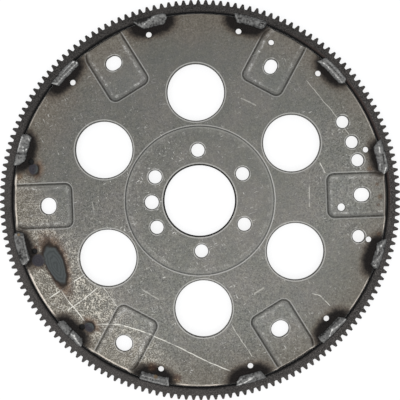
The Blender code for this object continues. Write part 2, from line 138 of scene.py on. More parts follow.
# Ring welds: centre angle, inner and outer radius, crown, tone. Then each end, first the one at the
# higher angle: how far it lies from the centre, and how far it is cut back at its outer corner, its
# middle and its inner corner.
RING_WELDS = (
    (11.4, 162.3, 171.6, 1.7, 0.05, (15.9, 0.0, 1.5, 5.5), (15.7, 3.5, 0.0, 4.0)),
    (42.2, 162.7, 170.9, 1.6, 0.02, (16.8, 4.0, 2.5, 0.0), (15.7, 2.5, 0.0, 3.5)),
    (72.2, 162.6, 171.0, 1.6, -0.12, (15.7, 0.0, 1.5, 4.0), (15.0, 0.8, 0.0, 2.5)),
    (102.8, 161.0, 171.0, 1.7, -0.05, (16.8, 0.0, 3.0, 8.0), (14.0, 1.0, 0.0, 3.5)),
    (134.4, 162.3, 170.2, 1.5, 0.00, (15.7, 0.0, 1.2, 3.0), (15.4, 3.5, 0.5, 0.8)),
    (161.8, 160.6, 170.4, 1.8, 0.06, (16.2, 0.0, 1.2, 6.4), (14.6, 2.0, 0.0, 1.5)),
    (192.6, 161.0, 170.5, 1.6, -0.08, (16.2, 0.5, 0.0, 3.5), (14.5, 1.5, 0.0, 2.0)),
    (223.5, 162.8, 170.3, 1.6, 0.00, (16.2, 0.0, 1.0, 4.5), (14.5, 1.0, 0.0, 2.5)),
    (253.3, 161.6, 169.5, 1.6, -0.02, (15.4, 0.0, 0.5, 1.5), (12.8, 0.5, 0.0, 0.3)),
    (283.5, 162.0, 170.3, 1.7, 0.05, (15.4, 0.0, 1.5, 3.5), (13.3, 0.0, 1.5, 6.0)),
    (313.4, 162.0, 169.8, 1.6, 0.00, (16.8, 0.0, 1.0, 3.5), (14.3, 0.8, 0.0, 1.0)),
    (341.5, 163.4, 171.6, 1.6, -0.05, (14.8, 0.0, 2.0, 6.0), (14.5, 1.0, 0.0, 3.0)),
)

# Ridges, glints and hollows of each weld: from x, radius to x, radius, half width, rise. The rise
# shapes the bead and also paints it, a painted highlight where positive and painted shade where
# negative. The x is millimetres from the weld's centre towards lower angles.
STROKES = (
    ((-9.0, 167.4, -7.6, 167.2, 0.9, 0.8), (-5.6, 166.9, -4.4, 166.8, 0.9, 0.8),
     (10.4, 168.8, 14.9, 166.6, 1.0, 0.8), (6.0, 164.3, 11.0, 163.8, 0.6, 0.5),
     (-3.4, 170.4, 9.3, 170.6, 0.6, 0.4), (-1.8, 168.8, 6.0, 168.2, 0.9, -0.4)),
    ((-10.7, 169.5, 13.2, 169.7, 0.9, 0.4), (-5.1, 165.6, 14.9, 165.0, 0.9, 0.5),
     (-16.2, 163.2, -10.7, 165.4, 0.8, 0.5), (-10.7, 165.4, -5.1, 165.6, 0.8, 0.5),
     (-8.4, 167.6, 10.0, 167.3, 0.5, -0.35)),
    ((-15.4, 170.6, -10.7, 164.3, 0.9, 0.35), (-5.0, 170.3, 9.3, 170.5, 0.7, 0.2),
     (9.6, 168.6, 13.0, 168.6, 0.4, 0.5), (9.6, 166.6, 13.0, 166.8, 0.4, 0.5),
     (11.3, 167.7, 11.4, 167.7, 0.7, -0.6)),
    ((-16.4, 170.4, -10.7, 163.4, 1.0, 0.5), (-10.7, 163.4, -6.8, 165.4, 0.9, 0.4),
     (-6.8, 165.8, 6.0, 170.6, 0.9, 0.55), (-12.5, 168.8, -1.0, 169.8, 1.8, -0.6),
     (9.3, 169.9, 13.2, 167.1, 1.2, 0.3), (-2.0, 162.8, 8.0, 163.0, 1.0, -0.2)),
    ((-15.4, 169.3, -12.3, 164.9, 0.8, 0.5), (-12.3, 164.9, 14.5, 164.8, 0.7, 0.5),
     (-1.8, 167.3, 13.8, 168.4, 0.6, 0.55), (12.1, 167.7, 12.4, 167.7, 0.8, 0.9),
     (14.2, 165.4, 14.6, 165.6, 0.8, 0.9), (-11.0, 166.6, 6.0, 166.4, 0.4, -0.2)),
    ((-15.0, 168.2, -9.0, 164.4, 1.2, 0.35), (-4.9, 169.2, -3.6, 161.6, 0.7, -0.42),
     (-2.3, 168.9, 10.4, 169.2, 0.7, 0.7), (-8.6, 166.9, -7.8, 166.6, 0.7, -0.35),
     (-0.8, 164.3, -0.6, 164.4, 0.8, 0.9), (2.1, 165.4, 2.4, 165.4, 0.8, 0.9),
     (0.4, 162.1, 1.4, 162.1, 0.7, 0.8), (0.9, 163.9, 1.0, 163.9, 0.4, -0.6),
     (9.3, 161.9, 12.7, 164.3, 0.7, 0.6), (-12.0, 166.0, -7.0, 165.0, 1.6, -0.2)),
    ((-12.9, 163.0, 9.3, 161.5, 0.5, 0.4), (-15.7, 168.8, -12.9, 163.0, 0.6, 0.4),
     (11.8, 167.7, 12.3, 167.7, 0.8, 0.9), (1.6, 169.8, 11.6, 169.4, 0.6, 0.35),
     (-11.0, 167.5, -7.0, 169.0, 1.0, -0.4)),
    ((-15.1, 168.3, -1.2, 166.3, 1.0, 0.6), (-7.6, 166.8, -6.8, 166.6, 0.8, 0.8),
     (-4.9, 165.4, -4.2, 165.4, 0.8, 0.8), (-0.7, 168.2, 0.6, 163.6, 0.8, -0.38),
     (4.0, 167.0, 10.0, 166.5, 1.2, 0.15)),
    ((-15.0, 168.4, -12.9, 164.3, 0.8, 0.5), (-10.7, 167.9, 11.6, 168.2, 0.8, 0.35),
     (-7.3, 164.5, 10.4, 165.4, 0.6, 0.35), (-8.0, 166.2, 9.0, 166.6, 0.4, -0.15),
     (12.0, 168.5, 12.4, 162.4, 0.6, -0.4)),
    ((-1.0, 166.0, -0.4, 166.0, 1.2, 1.1), (-4.6, 165.4, 4.9, 168.3, 0.8, 0.55),
     (4.9, 168.3, 12.7, 169.3, 0.8, 0.6), (7.1, 164.4, 11.0, 166.6, 0.6, 0.7),
     (1.5, 163.6, 4.5, 164.2, 0.8, -0.4), (-11.0, 166.5, -6.0, 164.5, 1.6, 0.1)),
    ((-16.0, 168.8, -0.7, 166.2, 1.1, 0.5), (-1.2, 165.4, 4.9, 168.3, 0.7, 0.8),
     (-12.0, 163.3, 12.0, 163.0, 0.8, -0.35), (6.0, 166.8, 12.0, 166.8, 1.8, 0.1)),
    ((-14.2, 170.6, -7.3, 167.3, 0.8, 0.4), (-7.4, 167.1, -7.0, 167.1, 1.0, 1.1),
     (-6.2, 165.0, -0.7, 166.0, 0.6, 0.55), (-2.9, 170.4, 9.3, 166.2, 0.5, 0.5),
     (10.4, 167.7, 10.6, 167.7, 0.8, 0.9), (11.6, 166.4, 11.8, 166.4, 0.7, 0.8),
     (8.2, 164.7, 8.5, 164.7, 0.8, 0.8), (-2.0, 168.0, 5.0, 165.6, 0.5, -0.4)),
)

# Soot round each weld: first angle, last angle, inner reach
SOOT = (
    (5.4, 17.6, 155.0), (35.9, 49.3, 154.0), (66.0, 80.8, 151.5),
    (95.0, 111.2, 151.0), (127.0, 143.3, 152.5), (155.4, 169.6, 151.2),
    (186.6, 200.0, 153.5), (216.4, 230.6, 153.6), (246.2, 260.8, 152.0),
    (276.0, 291.2, 152.0), (306.8, 321.6, 151.5), (333.4, 348.0, 153.0),
)

# Heat marks of the welds behind the plate: angle, radius, half length along the rim, half depth,
# tilt in degrees, and how much narrower the end at the higher angle is
HEAT_MARKS = (
    (167.2, 152.3, 5.8, 5.4, 0.0, 0.0),
    (226.8, 151.5, 5.6, 5.0, 0.0, 0.0),
    (198.3, 155.2, 6.6, 6.4, 0.0, 0.0),
    (202.3, 142.0, 20.8, 8.3, -1.0, 0.26),
)

# Burnt and rusty spots beside the welds: angle, radius, half width
STAINS = (
    (-0.8, 162.6, 3.0), (3.2, 160.5, 2.0), (-3.4, 161.0, 1.6),
    (347.4, 163.6, 2.2), (194.0, 153.4, 2.4), (170.4, 163.4, 3.6),
    (260.8, 161.0, 4.6), (252.0, 155.2, 4.6), (8.4, 155.0, 3.2),
)

# Scratches: broken lines of angle and radius, with a width and a strength
SCRATCHES = (
    (((227.7, 147.0), (230.7, 139.7), (235.3, 133.3), (242.2, 129.6), (249.6, 129.0)), 0.55, 0.75),
    (((249.6, 129.0), (258.1, 132.1), (267.9, 141.5), (273.5, 148.9), (278.2, 156.1)), 0.50, 0.60),
    (((210.9, 160.7), (210.6, 122.8)), 0.50, 0.70),
    (((210.8, 148.8), (216.2, 148.8), (224.9, 150.3)), 0.50, 0.75),
    (((217.7, 154.4), (218.3, 138.6), (218.4, 121.1)), 0.50, 0.65),
    (((220.2, 116.9), (230.0, 120.7)), 0.40, 0.45),
    (((46.5, 143.9), (28.9, 144.1), (21.9, 146.4)), 0.40, 0.32),
    (((15.3, 113.0), (10.4, 115.0)), 0.45, 0.60),
    (((282.0, 114.6), (286.5, 147.8)), 0.40, 0.40),
    (((318.4, 131.1), (319.6, 137.5), (319.0, 150.1)), 0.40, 0.50),
    (((178.7, 96.6), (185.2, 95.7)), 0.70, 0.22),
    (((5.8, 99.3), (354.8, 98.7)), 0.70, 0.25),
    (((65.8, 99.0), (57.5, 99.2)), 0.70, 0.22),
    (((235.1, 95.6), (245.1, 96.2)), 0.70, 0.25),
    (((298.5, 97.0), (304.1, 97.3)), 0.70, 0.25),
)


def polar(radius, degrees):
    angle = math.radians(degrees)
    return radius * math.cos(angle), radius * math.sin(angle)


def set_up_camera():
    data = bpy.data.cameras.new("photo_camera")
    data.sensor_width = SENSOR_WIDTH
    data.lens = SENSOR_WIDTH / 2 * CAMERA_DISTANCE / HALF_VIEW
    aside = CAMERA_DISTANCE * math.sin(CAMERA_LEAN)
    above = CAMERA_DISTANCE * math.cos(CAMERA_LEAN)
    place = Vector((*polar(aside, CAMERA_LEAN_ANGLE), RING_TOP + above))
    aim = Vector((*polar(AIM_OFFSET, CAMERA_LEAN_ANGLE), RING_TOP))
    back = (place - aim).normalized()
    right = Vector((math.cos(PHOTO_TURN), -math.sin(PHOTO_TURN), 0.0))
    right = (right - right.dot(back) * back).normalized()
    turn = Matrix((right, back.cross(right), back)).transposed()
    camera = bpy.data.objects.new("photo_camera", data)
    camera.matrix_world = Matrix.Translation(place * MM) @ turn.to_4x4()
    bpy.context.scene.collection.objects.link(camera)
    bpy.context.scene.camera = camera


class Value:
    """A socket of a graph, for use in arithmetic."""

    def __init__(self, graph, socket):
        self.graph, self.socket = graph, socket

    def __add__(self, other):
        return self.graph.math("ADD", self, other)

    def __sub__(self, other):
        return self.graph.math("SUBTRACT", self, other)

    def __rsub__(self, other):
        return self.graph.math("SUBTRACT", other, self)

    def __mul__(self, other):
        return self.graph.math("MULTIPLY", self, other)

    __radd__ = __add__
    __rmul__ = __mul__


class Graph:
    """One material's shader nodes, made by calls. Places are in millimetres."""

    def __init__(self, name):
        self.material = bpy.data.materials.new(name)
        self.material.use_nodes = True
        self.tree = self.material.node_tree
        self.shader = self.tree.nodes["Principled BSDF"]
        position = self.make("ShaderNodeTexCoord", output="Object")
        self.place = self.vector("SCALE", position, scale=1 / MM)
        split = self.make("ShaderNodeSeparateXYZ", (self.place,)).socket.node
        self.x, self.y, self.z = [Value(self, socket) for socket in split.outputs]
        self.flat = self.join(self.x, self.y, 0.0)
        self.radius = self.vector("LENGTH", self.flat)

    def make(self, kind, inputs=(), output=0, **settings):
        """The output of a new node, whose inputs are given in order or by their keys."""
        made = self.tree.nodes.new(kind)
        for key, value in settings.items():
            setattr(made, key, value)
        pairs = inputs.items() if isinstance(inputs, dict) else enumerate(inputs)
        for key, value in pairs:
            self.feed(made.inputs[key], value)
        return Value(self, made.outputs[output])

    def feed(self, socket, value):
        if isinstance(value, Value):
            self.tree.links.new(value.socket, socket)
        elif isinstance(value, tuple) and len(value) == 3 and socket.type == "RGBA":
            socket.default_value = (*value, 1.0)
        else:
            socket.default_value = value

    def math(self, operation, *values, clamp=False):
        return self.make("ShaderNodeMath", values, operation=operation, use_clamp=clamp)

    def clamped(self, a, b):
        """The product, kept between 0 and 1."""
        return self.math("MULTIPLY", a, b, clamp=True)

    def vector(self, operation, *values, scale=None):
        inputs = dict(enumerate(values))
        if scale is not None:
            inputs["Scale"] = scale
        output = "Value" if operation in ("LENGTH", "DISTANCE", "DOT_PRODUCT") else "Vector"
        return self.make("ShaderNodeVectorMath", inputs, output, operation=operation)

    def join(self, x, y, z):
        return self.make("ShaderNodeCombineXYZ", (x, y, z))

    def attribute(self, name):
        return self.make("ShaderNodeAttribute", output="Fac", attribute_name=name)

    def noise(self, size, detail=3.0, roughness=0.55, vector=None):
        """Noise whose lumps are about size millimetres wide, from 0 to 1."""
        inputs = {"Vector": self.place if vector is None else vector}
        inputs |= {"Scale": 1.0 / size, "Detail": detail, "Roughness": roughness}
        return self.make("ShaderNodeTexNoise", inputs)

    def step(self, value, low, high, start=0.0, end=1.0):
        """Start below low, end above high, and smooth between."""
        inputs = (value, low, high, start, end)
        return self.make("ShaderNodeMapRange", inputs, interpolation_type="SMOOTHSTEP")

    def band(self, value, middle, half_width, soft):
        """1 within half_width of the middle, 0 past it."""
        away = self.math("ABSOLUTE", value - middle)
        return self.step(away, half_width, half_width + soft, 1.0, 0.0)

    def mix(self, share, a, b, blend="MIX"):
        inputs = {0: share, 6: a, 7: b}
        return self.make("ShaderNodeMix", inputs, 2, data_type="RGBA", blend_type=blend)

    def lay(self, share, paint):
        """Paint over the colour so far."""
        self.colour = self.mix(share, self.colour, paint)

    def tint(self, paint, share=1.0):
        """Multiply the colour so far by another."""
        self.colour = self.mix(share, self.colour, paint, "MULTIPLY")

    def grey(self, value):
        """A value as a grey colour."""
        return self.make("ShaderNodeCombineColor", (value,) * 3)

    def from_spot(self, radius, degrees):
        """The distance from a spot given by its radius and angle."""
        return self.vector("DISTANCE", self.flat, (*polar(radius, degrees), 0.0))

    def bump(self, height, distance, strength=1.0):
        inputs = {"Height": height, "Distance": distance, "Strength": strength}
        return self.make("ShaderNodeBump", inputs)

    def finish(self, roughness, normal, metallic, specular=0.5):
        inputs = {"Base Color": self.colour, "Roughness": roughness, "Metallic": metallic}
        inputs["Specular IOR Level"] = specular
        if normal is not None:
            inputs["Normal"] = normal
        for name, value in inputs.items():
            self.feed(self.shader.inputs[name], value)
        return self.material


def scratch_mask(g):
    """How strongly any scratch runs through the point, from 0 to 1."""
    wobble = (g.noise(9.0, 2.0) - 0.5) * 1.2
    flat = g.join(g.x + wobble, g.y + wobble, 0.0)
    total = 0.0
    for points, width, strength in SCRATCHES:
        nearest = None
        for (a0, r0), (a1, r1) in zip(points, points[1:]):
            start = Vector((*polar(r0, a0), 0.0))
            along = Vector((*polar(r1, a1), 0.0)) - start
            away = g.vector("SUBTRACT", flat, tuple(start))
            share = g.vector("DOT_PRODUCT", away, tuple(along / along.length_squared))
            foot = g.vector("SCALE", tuple(along), scale=g.clamped(share, 1.0))
            distance = g.vector("DISTANCE", away, foot)
            nearest = distance if nearest is None else g.math("MINIMUM", nearest, distance)
        line = g.step(nearest, width * 0.3, width * 1.2, strength, 0.0)
        total = g.math("MAXIMUM", total, line)
    return total * g.step(g.noise(5.0, 3.0), 0.34, 0.52, 0.25, 1.0)


class PlateGraph(Graph):
    """The plate's shader nodes, with the noises and places that its layers share."""

    def __init__(self):
        super().__init__("plate_steel")
        self.mottle = self.noise(30.0, 4.0, 0.6)
        self.coarse = self.noise(5.0, 3.0, 0.6)
        self.grain = self.noise(1.7, 3.0, 0.7)
        self.glint = self.noise(1.15, 3.0, 0.8)
        self.fine = self.noise(0.8, 2.0, 0.6)
        # Millimetres towards the photo's upper right and upper left
        self.up_right = self.x * 0.819 + self.y * 0.574
        self.up_left = self.y * 0.766 - self.x * 0.643
        beside = self.step(self.math("ABSOLUTE", self.y - 20.0), 30.0, 80.0, 1.0, 0.0)
        self.right_side = self.step(self.x, 70.0, 115.0) * beside


def grain_strength(g):
    """How strongly the grain shows, and how strongly the painted glints and the rub marks do."""
    rougher = g.step(g.up_right, -60.0, 90.0, 1.30, 0.65)
    rougher = rougher * g.step(g.up_left, 50.0, 110.0, 1.0, 0.62)
    hub_left = g.step(g.radius, 60.0, 66.0, 1.0, 0.0) * g.step(g.x, -40.0, 0.0, 1.0, 0.0)
    rougher = g.right_side * 0.60 + hub_left * 0.12 + rougher
    return rougher, rougher + hub_left * 0.90


def rolled_steel(g, rougher):
    """Warm grey, mottled, with a grain that shows from afar, and brown towards the rim. Painted light
    makes it lighter to the lower right and darker to the upper left.
    """
    # Painted light: lighter towards the lower right, darker towards the upper left, a little less
    # bright in the lower right corner
    low_right = g.step(g.up_left, -150.0, -60.0, 1.0, 0.0) * g.step(g.x, 0.0, 50.0)
    painted_falloff = g.step(g.up_left, -105.0, 140.0, 0.93, 0.685) - low_right * 0.045
    quiet = g.step(g.radius, 60.0, 66.0, 0.70, 1.0)
    tone = (g.grain - 0.5) * 1.8 + (g.fine - 0.5) * 1.1
    tone = 0.70 + g.mottle * 0.40 + rougher * quiet * tone
    g.colour = g.mix(g.step(g.mottle, 0.35, 0.65), (0.200, 0.200, 0.180), (0.208, 0.199, 0.182))
    g.tint((1.06, 1.05, 1.00), g.step(g.coarse, 0.35, 0.65))
    g.tint(g.grey(painted_falloff * tone))

    reach = g.radius + g.mottle * 24.0
    more = g.step(g.up_left, 70.0, 130.0) * 0.14 - g.right_side * 0.12
    share = g.step(reach, 138.0, 182.0) * (0.50 + more)
    brown = g.mix(g.step(g.grain, 0.4, 0.6), (0.098, 0.076, 0.052), (0.190, 0.163, 0.124))
    g.lay(share, brown)


def speckled(g, rougher, glint_and_rub_strength):
    """Golden speckle, strong on the lower left and faint elsewhere, and light flecks that are painted
    glints.
    """
    left = g.step(g.up_right + g.mottle * 20.0, -118.0, -84.0, 1.0, 0.0)
    in_pressing = g.step(g.attribute("press"), -5.0, -3.0, 1.0, 0.0)
    pad_floor = in_pressing * g.step(g.radius, 100.0, 110.0)
    g.tint((1.13, 1.14, 1.16), pad_floor * 0.9)
    gold = g.step(g.radius, 138.0, 163.0, 0.74, 0.44) * (1.0 - pad_floor * 0.35)
    gold = rougher * 0.12 + left * gold
    speckle = g.step(g.glint + g.coarse * 0.30, 0.635, 0.785)
    light = g.mix(left, (0.44, 0.43, 0.40), (0.70, 0.655, 0.56))
    g.lay(speckle * gold, light)
    bottom = g.step(g.y + g.mottle * 16.0, -150.0, -95.0, 0.30, 0.0)
    g.tint((0.52, 0.50, 0.47), bottom * (1.0 - left))
    g.lay(left * 0.74 * g.step(g.glint, 0.51, 0.41), (0.105, 0.088, 0.064))
    # Painted glints: small light flecks
    painted_glint = g.step(g.noise(1.05, 1.0, 0.5), 0.70, 0.78)
    g.lay(glint_and_rub_strength * 0.50 * painted_glint, (0.62, 0.61, 0.58))


def rubbed(g, glint_and_rub_strength):
    """Short rub marks, in patches, running two ways."""
    patches = g.step(g.noise(16.0, 3.0, 0.6), 0.46, 0.62)
    share = glint_and_rub_strength * 0.75 * patches
    for across, down, length in ((0.94, 0.34, 0.16), (-0.42, 0.91, 0.20)):
        run = (g.x * across + g.y * down) * length
        rise = g.x * -down + g.y * across
        rub = g.step(g.noise(0.95, 1.0, 0.5, g.join(run, rise, length)), 0.66, 0.78)
        g.lay(rub * share, (0.60, 0.59, 0.55))


def pressed_lines(g):
    """Painted highlights on the pressings' upper edges, painted light and painted shade on their walls,
    and burnished lower edges with painted glints.
    """
    press = g.attribute("press") + (g.coarse - 0.5) * 0.5
    pads = g.step(g.radius, 90.0, 100.0, 0.35, 1.0)
    hub = g.step(g.radius, 90.0, 100.0, 1.0, 0.0)
    # Painted highlight on the upper edges and painted shade on the hub's wall, each changing round the
    # hub with the light
    edge_highlight = 0.60 + hub * g.step(g.up_left, -50.0, 50.0, 0.32, -0.06)
    shaded = hub * g.step(g.up_left, -10.0, 45.0, 0.12, 0.62)
    patchy = g.step(g.coarse + g.mottle * 0.6, 0.74, 1.0)
    glints = 0.05 + patchy * g.step(g.glint, 0.46, 0.62, 0.16, 0.95)
    # Each line's distance outside the upper edge, half width, softness, strength and colour. In turn: a
    # painted highlight; painted light and painted shade on the hub's wall; painted light and painted
    # shade on the pads' walls; painted glints on the pads' burnished lower edges
    lines = (
        (0.35, 0.25, 0.40, edge_highlight, (0.46, 0.45, 0.42)),
        (-1.4, 0.30, 0.45, hub * 0.30, (0.40, 0.40, 0.37)),
        (-0.55, 0.20, 0.35, shaded, (0.060, 0.060, 0.056)),
        (-2.3, 0.50, 0.50, pads * 0.26, (0.46, 0.45, 0.42)),
        (-1.0, 0.30, 0.50, pads * 0.12, (0.070, 0.066, 0.058)),
        (-4.6, 0.50, 1.20, glints * pads, (0.56, 0.555, 0.53)),
    )
    for middle, half_width, soft, strength, paint in lines:
        g.lay(g.band(press, middle, half_width, soft) * strength, paint)


def heat_marked(g):
    """Heat marks of the welds behind the plate: a glow, a dark border and a slate middle.

    The middle lies over the soot, so its share and colour are returned, after the border's.
    """
    heat = g.attribute("heat_mark") + (g.coarse - 0.5) * 2.2
    oval = g.step(g.radius + (g.coarse - 0.5) * 2.0, 148.5, 151.5, 1.0, 0.0)
    glow = g.step(heat, 0.2, 3.0 + oval * 4.5, 1.0, 0.0)
    brown = g.mix(g.step(g.coarse, 0.42, 0.62), (0.082, 0.052, 0.036), (0.165, 0.108, 0.072))
    g.lay(glow * (0.38 + oval * 0.47), brown)
    border = g.step(heat, -0.2, 2.2, 0.95, 0.0) * (0.62 + oval * 0.38)
    g.lay(border, (0.020, 0.015, 0.012))
    layers = g.band(g.math("FRACT", heat * 0.55), 0.5, 0.10, 0.20)
    slate = g.mix(oval, (0.040, 0.038, 0.045), (0.068, 0.076, 0.075))
    slate = g.mix(1.0, slate, g.grey(0.62 + g.grain * 0.76), "MULTIPLY")
    slate = g.mix(layers * 0.50, slate, (0.5, 0.5, 0.5), "MULTIPLY")
    return border, g.step(heat, -1.6, -0.3, 0.95, 0.0), slate


def sooted(g):
    """Soot from the ring welds: returns the shares of its brown fringe and its black."""
    soot = g.attribute("soot") + (g.noise(4.2, 4.0, 0.65) - 0.5) * 4.5
    fringe = g.step(soot, -3.0, 2.0) * 0.75
    brown = g.mix(g.step(g.grain, 0.38, 0.62), (0.055, 0.042, 0.032), (0.115, 0.090, 0.066))
    g.lay(fringe, brown)
    black = g.step(soot, -0.4, 4.4)
    coal = g.mix(g.step(g.fine, 0.4, 0.7), (0.006, 0.005, 0.005), (0.020, 0.017, 0.015))
    g.lay(black * 0.96, coal)
    return fringe, black


def stained(g):
    """Burnt and rusty spots."""
    spots = 0.0
    for degrees, radius, half_width in STAINS:
        away = g.from_spot(radius, degrees)
        spot = g.step(away, half_width * 0.3, half_width * 1.3, 1.0, 0.0)
        spots = g.math("MAXIMUM", spots, spot)
    rust = g.mix(g.step(g.coarse, 0.4, 0.6), (0.055, 0.026, 0.018), (0.13, 0.082, 0.048))
    g.lay(spots * 0.62, rust)
    g.lay(spots * g.step(g.glint, 0.60, 0.70), (0.55, 0.44, 0.27))


def edge_light_and_shade(g, clean):
    """Painted highlights where the metal rolls over into the holes and the rim, and painted shade at
    the holes' brinks.
    """
    edge = g.attribute("edge") + (g.grain - 0.5) * 0.5
    bore = g.step(g.radius, 45.0, 55.0, 1.0, 0.0)
    # Painted highlight round the larger holes, then painted shade at their brinks, darkest round the
    # bore
    line = g.band(edge, 1.5 + bore * 0.5, 0.22, 0.40)
    g.lay(clean * 0.62 * line, (0.50, 0.49, 0.46))
    brink_shade = g.step(edge, 0.4 + bore * 0.5, 1.0 + bore * 0.4, 1.0, 0.0)
    dark = g.mix(bore, (0.055, 0.053, 0.050), (0.006, 0.006, 0.006))
    g.lay(brink_shade * (0.55 + bore * 0.44), dark)

    small = g.attribute("small_edge") + (g.grain - 0.5) * 0.5
    # Painted highlight and painted shade round the smaller holes
    small_edge_highlight = g.step(g.noise(6.0, 2.0), 0.38, 0.58, 0.12, 0.62) * clean
    g.lay(g.band(small, 1.15, 0.20, 0.35) * small_edge_highlight, (0.55, 0.54, 0.51))
    g.lay(g.step(small, 0.25, 0.75, 0.50, 0.0), (0.050, 0.048, 0.045))

    # Painted highlight along the rim, stronger towards the bottom and wider on the lower left
    rim = g.attribute("rim") + (g.grain - 0.5) * 1.2
    rim = rim - g.step(g.up_right, -125.0, -75.0, 1.0, 0.0) * 0.75
    patches = g.step(g.noise(14.0, 2.0), 0.34, 0.52, 0.45, 1.0)
    lit = g.step(g.y, 40.0, 125.0, 1.0, 0.22) * patches
    g.lay(clean * lit * g.step(rim, 0.7, 1.4, 0.90, 0.0), (0.80, 0.72, 0.62))


def plate_material():
    g = PlateGraph()
    rougher, glint_and_rub_strength = grain_strength(g)
    rolled_steel(g, rougher)
    speckled(g, rougher, glint_and_rub_strength)
    rubbed(g, glint_and_rub_strength)
    scratch = scratch_mask(g)
    g.lay(g.clamped(scratch, 1.5), (0.70, 0.68, 0.61))
    pressed_lines(g)
    border, middle, slate = heat_marked(g)
    fringe, black = sooted(g)
    g.lay(middle, slate)
    stained(g)
    edge_light_and_shade(g, 1.0 - g.math("MAXIMUM", g.clamped(fringe, 1.3), border))

    rough = g.grain * 0.30 + black * 0.25 + 0.34
    height = g.fine * 0.5 - scratch * 0.5 + g.grain * 0.7
    metallic = 0.85 - black * 0.65
    specular = 0.5 - black * 0.38
    return g.finish(rough, g.bump(height, 0.00016, 0.6), metallic, specular)


def cut_edge_material():
    """The sheared walls of the rim and the holes, with fine upright streaks, kept near black as painted
    shade for the seam.
    """
    g = Graph("cut_edge_steel")
    streaks = g.noise(0.7, 3.0, 0.6, g.join(g.x, g.y, g.z * 0.15))
    # Near black: painted shade in the seam between plate and ring
    g.colour = g.mix(streaks, (0.012, 0.012, 0.011), (0.060, 0.056, 0.050))
    return g.finish(streaks * 0.25 + 0.45, g.bump(streaks, 0.0002, 0.6), 0.5)


def ring_material():
    g = Graph("ring_steel")
    grain = g.noise(1.3, 3.0, 0.7)
    fine = g.noise(0.7, 2.0, 0.6)
    mottle = g.noise(12.0, 4.0, 0.6)
    g.colour = g.mix(g.step(grain, 0.36, 0.66), (0.009, 0.008, 0.007), (0.046, 0.042, 0.038))
    g.lay(g.step(mottle, 0.45, 0.7) * 0.5, (0.055, 0.050, 0.046))
    turned = g.noise(0.9, 2.0, 0.6, g.join(g.radius, 0.0, mottle * 0.8))
    g.tint(g.grey(turned * 0.56 + 0.78))
    # Painted light: more light speckle and a lighter tone on the lower left and on the right
    left = g.step(g.x + g.y * 0.8, -190.0, -60.0, 1.0, 0.0)
    right = g.step(g.x - g.y * 0.35, 60.0, 130.0)
    lit_speckle_share = g.math("MAXIMUM", left, right) * 0.24 + 0.20
    g.lay(g.step(grain * 0.3 + fine, 0.66, 0.82) * lit_speckle_share, (0.32, 0.29, 0.265))
    for side, share in ((left, 0.34), (right, 0.12)):
        g.lay(side * share, (0.084, 0.076, 0.071))

    # The bore's chamfer is brown at the right, and its foot, down in the seam, is painted black as
    # shade
    band = g.band(grain * 0.8 + g.radius, 169.8, 1.0, 0.7) * g.step(g.z, 7.0, 8.5)
    at_right = g.step(g.x, 70.0, 120.0) * g.step(g.y, -40.0, 10.0)
    brown = g.mix(grain, (0.020, 0.013, 0.011), (0.075, 0.048, 0.040))
    g.lay(band * at_right * 0.75, brown)
    # Painted shade: the foot of the bore, in the seam
    foot = g.step(g.radius, 168.9, 169.6, 1.0, 0.0) * g.step(g.z, 5.0, 7.0)
    g.lay(foot * 0.97, (0.004, 0.004, 0.004))
    # Painted shade on the teeth's flanks, up to their top chamfers
    flank_shade = g.step(g.z, 10.15, 10.38, 0.75, 0.0) * g.step(g.radius, 174.5, 175.5)
    g.lay(flank_shade, (0.012, 0.011, 0.011))
    return g.finish(grain * 0.25 + 0.42, g.bump(grain + fine, 0.00014, 0.5), 0.55, 0.28)


def weld_material():
    g = Graph("weld_steel")
    grain = g.noise(1.5, 3.0, 0.65)
    lumps = g.noise(4.0, 3.0, 0.6)
    # Each weld's tone, with painted highlights on its ridges and painted shade towards its edges; the
    # brightest parts become painted glints
    high = g.attribute("tone_light_and_shade") + (grain - 0.5) * 1.1
    g.colour = g.mix(g.step(high, 0.0, 0.85), (0.014, 0.013, 0.012), (0.185, 0.183, 0.174))
    g.lay(g.step(high, 0.80, 1.50), (0.66, 0.65, 0.61))
    for degrees, radius, half_width in ((188.6, 165.4, 1.8), (253.9, 163.3, 2.6)):
        spot = g.step(g.from_spot(radius, degrees), half_width * 0.4, half_width, 0.7, 0.0)
        g.lay(spot, (0.17, 0.11, 0.05))
    return g.finish(lumps * 0.28 + 0.28, g.bump(grain + lumps, 0.00022, 0.5), 0.8)


def weight_material():
    g = Graph("weight_steel")
    grain = g.noise(1.2, 4.0, 0.7)
    mottle = g.noise(15.0, 4.0, 0.6)
    g.colour = g.mix(grain, (0.055, 0.054, 0.056), (0.12, 0.118, 0.115))
    g.lay(g.step(mottle, 0.5, 0.75) * 0.5, (0.11, 0.075, 0.05))
    g.lay(g.step(g.z, 5.2, 5.5, 0.0, 0.9), (0.004, 0.004, 0.004))
    return g.finish(grain * 0.25 + 0.42, g.bump(grain, 0.00016, 0.5), 0.7)


def along_and_across(x, y, angle):
    along = x * math.cos(angle) + y * math.sin(angle)
    return along, y * math.cos(angle) - x * math.sin(angle)


def soft_floor(value, width):
    """The larger of a value and zero, with the corner rounded over a width."""
    middle = (value + width / 2) ** 2 / (2 * width)
    return np.where(value > width / 2, value, np.where(value < -width / 2, 0.0, middle))


def pressed_drop(inside, run, depth, upper_round, lower_round):
    """How far the metal is pressed down at a distance inside a pressing's upper edge."""
    ramp = soft_floor(inside, upper_round) - soft_floor(inside - run, lower_round)
    return ramp / run * depth


def hub_distance(x, y):
    return np.hypot(x, y) - HUB_RADIUS


def corner_bulge(u):
    """How far a pad's wall leans in next to its weld, near the rim."""
    share = np.clip((u - PAD_LEAN_START) / (RIM_RADIUS - PAD_LEAN_START), 0.0, 1.2)
    return PAD_LEAN * share ** 2


